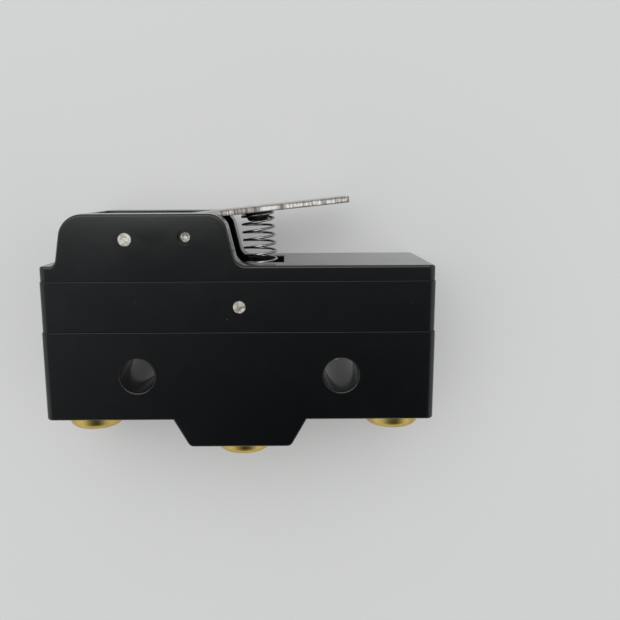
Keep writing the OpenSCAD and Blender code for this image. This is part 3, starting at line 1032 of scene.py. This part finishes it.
coilSpring = buildSpring(springSizes)
springWire = brushedMetal("springWire", metalLooks["springSteel"], 0.4)
finishPiece(coilSpring, springWire, "case", "spring_wire", "return_spring")
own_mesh(coilSpring)
print("stage: spring built")


# pins

cropLook = {
    "tintEdges": (0.36, 0.62),
    "roughEdges": (0.3, 0.7),
    "bump": (0.6, 0.00008),
}


def croppedSteel(name, look, seed):
    # cropped wire end: torn and smeared, with grey and brownish patches
    material, tree, shader = newMaterial(name, look["colour"], 1.0, 0.5)
    point = objectPoint(tree, look["brush"], (seed, 0, 0))
    patches = noiseField(tree, point, 1.0, 4, 0.65, 0.8)
    bare = remap(tree, patches, *cropLook["tintEdges"], 0, 1)
    tree.links.new(blendColour(tree, bare, look["stain"], look["colour"]), shader.inputs["Base Color"])
    rough = remap(tree, patches, *cropLook["roughEdges"], *look["roughness"])
    tree.links.new(rough, shader.inputs["Roughness"])
    addBump(tree, shader, patches, *cropLook["bump"])
    return material


pinSizes = {
    "pivot_pin": {"radius": 0.85, "chamfer": 0.07, "dish": 0.0},
    "stop_pin": {"radius": 0.75, "chamfer": 0.2, "dish": 0.25},
    "frame_pin": {"radius": 0.81, "chamfer": 0.07, "dish": 0.0},
}
pinFit = {"end": 0.02, "side": 0.004, "dishShare": 0.3, "land": 0.05}


def buildPin(node, size):
    # the dish is sunk into both ends, inside a narrow land
    f = pinFit
    low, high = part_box(node)
    centre = (low + high) / 2 / mm
    z0, z1 = low.z / mm + f["end"], high.z / mm - f["end"]
    r, c, dish = size["radius"] - f["side"], size["chamfer"], size["dish"]
    steps = ((tipRadius, dish), (r * f["dishShare"], dish), (r - c - f["land"], 0), (r - c, 0), (r, c))
    profile = [(radius, z0 + depth) for radius, depth in steps]
    profile += [(radius, z1 - depth) for radius, depth in reversed(steps)]
    pin = lathe(node.replace("_", "") + "Turned", profile, (centre.x, centre.y, 0), "Z", 48)
    material = croppedSteel(node + "Steel", metalLooks["cropped"], centre.x * mm)
    return finishPiece(smoothShade(pin, 20), material, "case", "pin_steel", node)


for pinName, pinSize in pinSizes.items():
    buildPin(pinName, pinSize)
print("stage: pins built")


# terminal screws and washers

screwSizes = {
    "head": 3.62,
    "height": 2.38,
    "corner": 1.0,
    "brim": 0.15,          # chamfer under the head
    "under": 0.72,         # from the terminal plate to the head, over the washer
    "thread": 1.95,
    "core": 1.65,
    "length": 7.4,
    "overlap": 0.3,        # how far the core runs into the head
    "point": 0.4,
    "pitch": 0.7,
    "bare": 1.6,           # length without a thread
    "threadFrom": 0.1,
    "root": 0.1,           # how far the ridge is sunk into the core
    "start": 0.05,         # the same at the ridge's two ends
    "flank": 0.27,
    "crest": 0.045,
    "steps": 36,           # a turn
    "fade": 18,            # steps over which the ridge runs out
    "slots": ((5.2, 0.95), (0.95, 3.6)),
    "slotDepth": 1.1,
    "slotEdge": 0.06,
    "slotEdgeReach": 0.9,  # depth from the head's end to which edges are softened
}


def screwHead(name, place, s):
    # the screw points along +Y, its head towards -Y
    under = -s["under"]
    end = under - s["height"]
    profile = [(tipRadius, under), (s["head"] - s["brim"], under), (s["head"], under - s["brim"])]
    profile += arc((s["head"] - s["corner"], end + s["corner"]), s["corner"], 0, -90, 8)
    profile.append((tipRadius, end))
    head = lathe(name, profile, place, "Y", 72)
    x, y, z = place
    for width, height in s["slots"]:
        w, h = width / 2, height / 2
        tool = blockOf("slotTool", x - w, x + w, y + end - 1, y + end + s["slotDepth"], z - h, z + h)
        combine(head, tool, "DIFFERENCE")
    return head


def screwThread(name, place, s):
    # one helical ridge wound round the core
    low, high = -s["under"] - s["overlap"], s["length"] - s["under"]
    core = [(tipRadius, low), (s["core"], low), (s["core"], high - s["point"])]
    core += [(s["core"] - s["point"], high), (tipRadius, high)]
    shank = lathe(name, core, place, "Y", 48)
    rings = []
    count = int((s["length"] - s["bare"]) / s["pitch"] * s["steps"])
    for i in range(count + 1):
        turn = i / s["steps"]
        a = 2 * math.pi * turn
        fade = min(1, i / s["fade"], (count - i) / s["fade"])
        root = s["core"] - s["root"]
        crest = s["core"] - s["start"] + (s["thread"] - s["core"] + s["start"]) * fade
        y = place[1] + s["threadFrom"] + turn * s["pitch"]
        section = ((root, -s["flank"]), (crest, -s["crest"]), (crest, s["crest"]), (root, s["flank"]))
        ring = []
        for radius, rise in section:
            ring.append((place[0] + radius * math.cos(a), y + rise, place[2] + radius * math.sin(a)))
        rings.append(ring)
    return combine(shank, skinRings(name + "Ridge", rings), "UNION")


def buildScrew(prefix, x, y):
    s = screwSizes
    place = (x, y, caseSizes["thickness"] / 2)
    screw = screwHead(prefix + "Screw", place, s)
    combine(screw, screwThread(prefix + "Thread", place, s), "UNION")
    limit = y - s["under"] - s["height"] + s["slotEdgeReach"]
    softenEdges(screw, lambda edge: min(v.co.y for v in edge.verts) / mm < limit, s["slotEdge"], 1)
    smoothShade(screw, 32)
    centre = (x * mm, y * mm, place[2] * mm)
    material = turnedMetal(prefix + "ScrewBrass", metalLooks["brass"], centre, 1)
    return finishPiece(screw, material, prefix + "_screw", "brass_screw", prefix + "_screw")


washerSizes = {
    "outer": 3.35,
    "root": 2.75,
    "bore": 2.07,
    "thickness": 0.7,
    "plate": 0.34,
    "gap": 0.01,
    "steps": 96,
    "teeth": 14,
    "twist": 16,           # degrees, at a tooth's tip
    "toothRoot": 0.15,     # how far a tooth runs into the ring
    "toothHalf": (0.4, 0.34),
}
boxQuads = ((0, 1, 2, 3), (7, 6, 5, 4), (0, 4, 5, 1), (1, 5, 6, 2), (2, 6, 7, 3), (3, 7, 4, 0))


def washerTooth(bm, centre, angle, w):
    radial = Vector((math.cos(angle), 0, math.sin(angle)))
    across = Vector((-math.sin(angle), 0, math.cos(angle)))
    level = Vector((0, 1, 0))
    ends = ((w["root"] - w["toothRoot"], w["toothHalf"][0], 0), (w["outer"], w["toothHalf"][1], w["twist"]))
    verts = []
    for radius, half, twist in ends:
        t = math.radians(twist)
        side = across * math.cos(t) + level * math.sin(t)
        up = level * math.cos(t) - across * math.sin(t)
        for su, sv in ((-1, -1), (1, -1), (1, 1), (-1, 1)):
            corner = centre + radial * radius + side * half * su + up * w["plate"] / 2 * sv
            verts.append(bm.verts.new(corner * mm))
    for quad in boxQuads:
        bm.faces.new([verts[q] for q in quad])


def buildWasher(prefix, x, y):
    # a flat ring with teeth twisted out of its plane
    w = washerSizes
    centre = Vector((x, y - w["gap"] - w["thickness"] / 2, caseSizes["thickness"] / 2))
    half = w["plate"] / 2
    section = [(w["bore"], -half), (w["root"], -half), (w["root"], half), (w["bore"], half)]
    rings = []
    for i in range(w["steps"]):
        a = 2 * math.pi * i / w["steps"]
        c, s = math.cos(a), math.sin(a)
        rings.append([(centre.x + r * c, centre.y + h, centre.z + r * s) for r, h in section])
    washer = skinRings(prefix + "Washer", rings, closed=True)
    bm = bmesh.new()
    for k in range(w["teeth"]):
        washerTooth(bm, centre, 2 * math.pi * k / w["teeth"], w)
    combine(washer, linkMesh(prefix + "Teeth", bm), "UNION")
    smoothShade(washer, 30)
    material = brushedMetal(prefix + "WasherBrass", metalLooks["brass"])
    return finishPiece(washer, material, prefix + "_washer", "brass_screw", prefix + "_washer")


screwPlaces = {"com": (-20.2, -5.75), "no": (0, -9.3), "nc": (20.2, -5.75)}

for prefix, (x, y) in screwPlaces.items():
    buildScrew(prefix, x, y)
    buildWasher(prefix, x, y)
print("stage: screws and washers built")


# pieces that keep their CAD shape

innerFinishes = {
    "plunger": "plungerResin",
    "snap_blade": "copper",
    "moving_contact": "silver",
    "no_contact": "silver",
    "nc_contact": "silver",
    "anchor_bracket": "brassPlate",
    "anchor_rivet": "tinned",
    "com_terminal": "brassPlate",
    "no_terminal": "brassPlate",
    "nc_terminal": "brassPlate",
}


def paintInner():
    made = {}
    for node, finish in innerFinishes.items():
        if finish not in made:
            if finish == "plungerResin":
                made[finish] = mouldedBlack("plungerResin", mouldedLook, 0.091)
            else:
                made[finish] = brushedMetal("inner_" + finish, metalLooks[finish])
        nodes[node].data.materials.clear()
        nodes[node].data.materials.append(made[finish])


paintInner()
print("stage: inner pieces finished")


# floor, lamps and world

stageLook = {
    "floor": (0.52, 0.524, 0.515),
    "floorHalf": 1.5,
    "floorGloss": 0.15,
    "clouds": 9,
    "cloudTone": 0.97,
    "backdropGlow": 0.205,  # seen by the camera and in reflections only
    "key": {"power": 2.4, "size": 0.85, "place": (-0.14, 0.36, 0.73), "aim": (0.005, 0.003, 0.0)},
    "sky": (0.96, 0.98, 1.0),
    "skyBright": 0.85,
    "skyDim": 0.03,
    "dimCentre": (0.10, -0.55, 1.0),  # part of the room that the front face mirrors
    "dimEdges": (0.66, 0.985),
}


def buildFloor(look):
    bm = bmesh.new()
    bmesh.ops.create_grid(bm, x_segments=2, y_segments=2, size=look["floorHalf"])
    floor = linkMesh("floor", bm)
    material, tree, shader = newMaterial("paleTable", look["floor"], 0.0, 0.8)
    shader.inputs["Specular IOR Level"].default_value = look["floorGloss"]
    cloud = remap(tree, noiseField(tree, objectPoint(tree), look["clouds"], 3), 0.3, 0.7, 0, 1)
    darker = tuple(c * look["cloudTone"] for c in look["floor"])
    tree.links.new(blendColour(tree, cloud, look["floor"], darker), shader.inputs["Base Color"])
    rays = addNode(tree, "ShaderNodeLightPath")
    seen = mathOf(tree, "MAXIMUM", rays.outputs["Is Camera Ray"], rays.outputs["Is Glossy Ray"])
    seen = mathOf(tree, "MAXIMUM", seen, rays.outputs["Is Transmission Ray"])
    glow = product(tree, seen, look["backdropGlow"] / look["floor"][0])
    shader.inputs["Emission Color"].default_value = (*look["floor"], 1)
    tree.links.new(glow, shader.inputs["Emission Strength"])
    floor.data.materials.append(material)


def addLamp(name, lamp):
    data = bpy.data.lights.new(name, "AREA")
    data.energy = lamp["power"]
    data.shape = "DISK"
    data.size = lamp["size"]
    light = bpy.data.objects.new(name, data)
    bpy.context.scene.collection.objects.link(light)
    light.location = lamp["place"]
    away = Vector(lamp["place"]) - Vector(lamp["aim"])
    light.rotation_euler = away.to_track_quat("Z", "Y").to_euler()


def buildWorld(look):
    # pale all round and dim where the polished front mirrors the room
    world = bpy.data.worlds.new("softRoom")
    bpy.context.scene.world = world
    world.use_nodes = True
    tree = world.node_tree
    background = tree.nodes["Background"]
    coords = addNode(tree, "ShaderNodeTexCoord")
    towards = addNode(tree, "ShaderNodeVectorMath", operation="DOT_PRODUCT")
    tree.links.new(coords.outputs["Generated"], towards.inputs[0])
    towards.inputs[1].default_value = Vector(look["dimCentre"]).normalized()
    shade = remap(tree, towards.outputs["Value"], *look["dimEdges"], look["skyBright"], look["skyDim"])
    background.inputs["Color"].default_value = (*look["sky"], 1)
    tree.links.new(shade, background.inputs["Strength"])


buildFloor(stageLook)
addLamp("keyLamp", stageLook["key"])
buildWorld(stageLook)
bpy.context.scene.view_settings.view_transform = "Standard"
print("stage: floor and light set")
